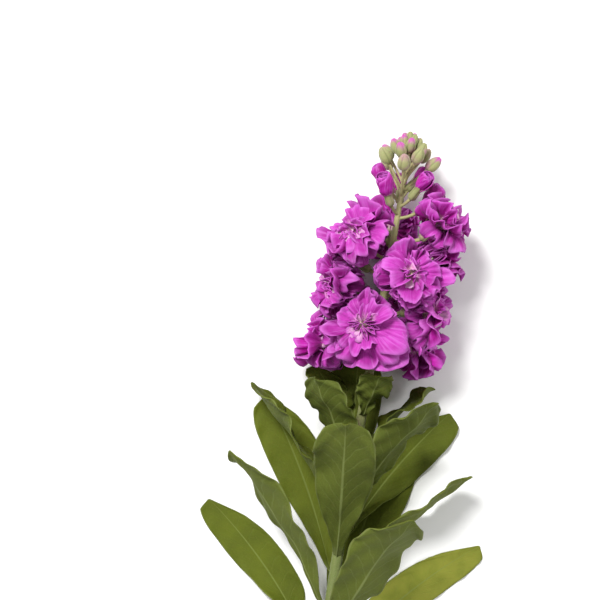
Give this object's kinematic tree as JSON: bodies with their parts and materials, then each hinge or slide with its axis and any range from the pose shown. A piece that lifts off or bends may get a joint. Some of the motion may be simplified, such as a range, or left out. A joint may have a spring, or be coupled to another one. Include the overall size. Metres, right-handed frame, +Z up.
{
  "type": "stock flower stem",
  "caption": "Cut stem of double-flowered stock lying down: ruffled magenta florets spiral up a head tipped with green buds, over long wavy grey-green leaves and a bare lower stalk.",
  "frame": {"origin": "on the surface it lies on, under the middle of its bounding box", "axes": "+Y along the stem from the cut end to the budded tip, +Z up off the surface, +X to the right seen from above with the tip away"},
  "size_m": [0.1632, 0.4974, 0.0864],
  "materials": {
    "stem_green": "matt pale green with a fine grey felt",
    "leaf_green": "matt olive green with a soft grey felt and a pale midrib",
    "petal_magenta": "soft satin magenta, paler at the heart"
  },
  "bodies": {
    "root": {"stem": "stem_green", "floret_01": "petal_magenta", "floret_02": "petal_magenta", "floret_03": "petal_magenta", "floret_04": "petal_magenta", "floret_05": "petal_magenta", "floret_06": "petal_magenta", "floret_07": "petal_magenta", "floret_08": "petal_magenta", "floret_09": "petal_magenta", "floret_10": "petal_magenta", "floret_11": "petal_magenta", "floret_12": "petal_magenta", "floret_13": "petal_magenta", "opening_bud_01": "petal_magenta", "opening_bud_02": "petal_magenta", "opening_bud_03": "petal_magenta", "opening_bud_04": "petal_magenta", "opening_bud_05": "petal_magenta", "opening_bud_06": "petal_magenta", "leaf_01": "leaf_green", "leaf_02": "leaf_green", "leaf_03": "leaf_green", "leaf_04": "leaf_green", "leaf_05": "leaf_green", "leaf_06": "leaf_green", "leaf_07": "leaf_green", "leaf_08": "leaf_green", "leaf_09": "leaf_green", "leaf_10": "leaf_green", "leaf_11": "leaf_green", "leaf_12": "leaf_green", "leaf_13": "leaf_green", "leaf_14": "leaf_green", "leaf_15": "leaf_green", "leaf_16": "leaf_green"}
  },
  "joints": []
}
